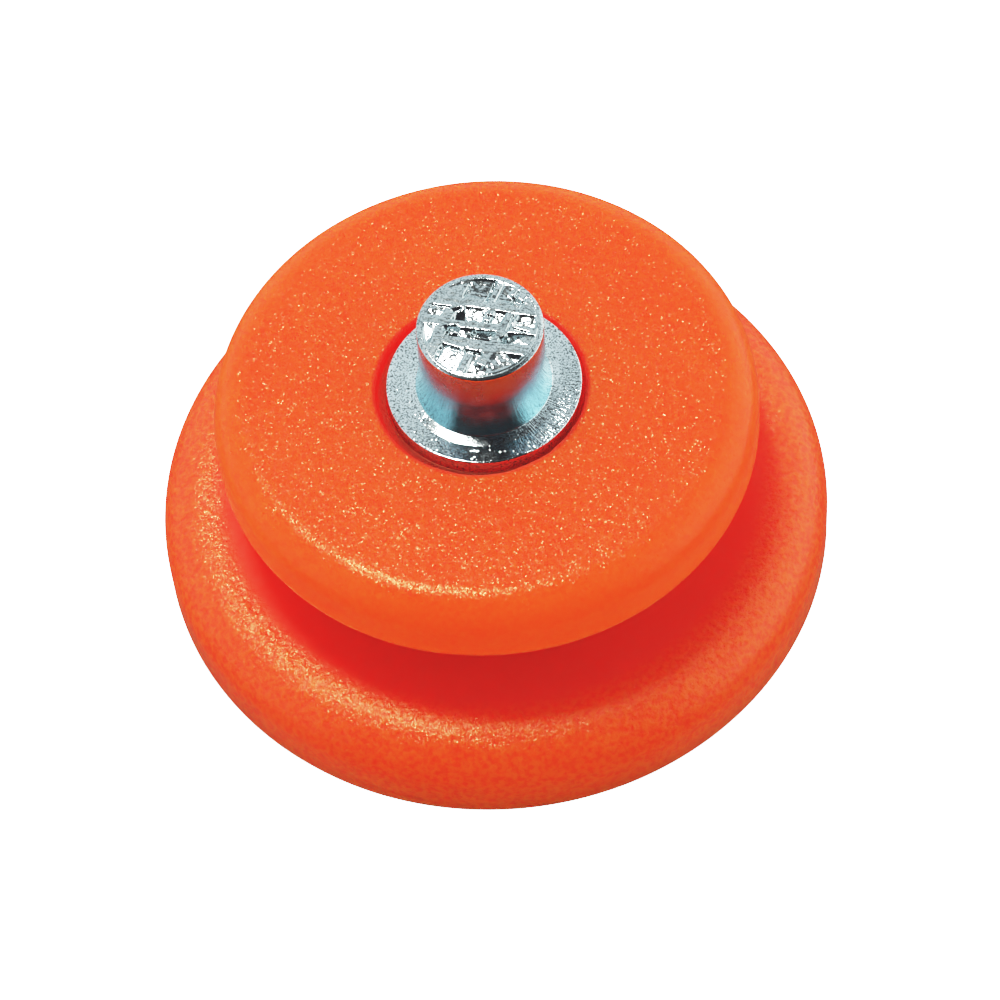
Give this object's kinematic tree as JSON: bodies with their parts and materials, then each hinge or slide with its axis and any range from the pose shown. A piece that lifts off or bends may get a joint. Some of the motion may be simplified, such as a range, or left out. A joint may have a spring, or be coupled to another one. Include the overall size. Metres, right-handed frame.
{
  "type": "push-in traction stud",
  "caption": "Spool-shaped orange plastic button moulded around a plated steel stud with a cross-cut tip; pushes into a hole in a rubber sole and grips ice or ground.",
  "frame": {"origin": "centre of the wide flange's flat underside", "axes": "+Z along the stud, from the underside to the steel tip; the part is round, so +X and +Y are free"},
  "size_m": [0.02, 0.02, 0.0107],
  "materials": {
    "orange_plastic": "bright orange moulded plastic with a fine spark-eroded grain on its outer faces",
    "zinc_plated_steel": "bluish bright zinc plating, smooth on the neck and grainy on the collar and tip"
  },
  "bodies": {
    "root": {"plastic_button": "orange_plastic", "steel_stud": "zinc_plated_steel"}
  },
  "joints": []
}
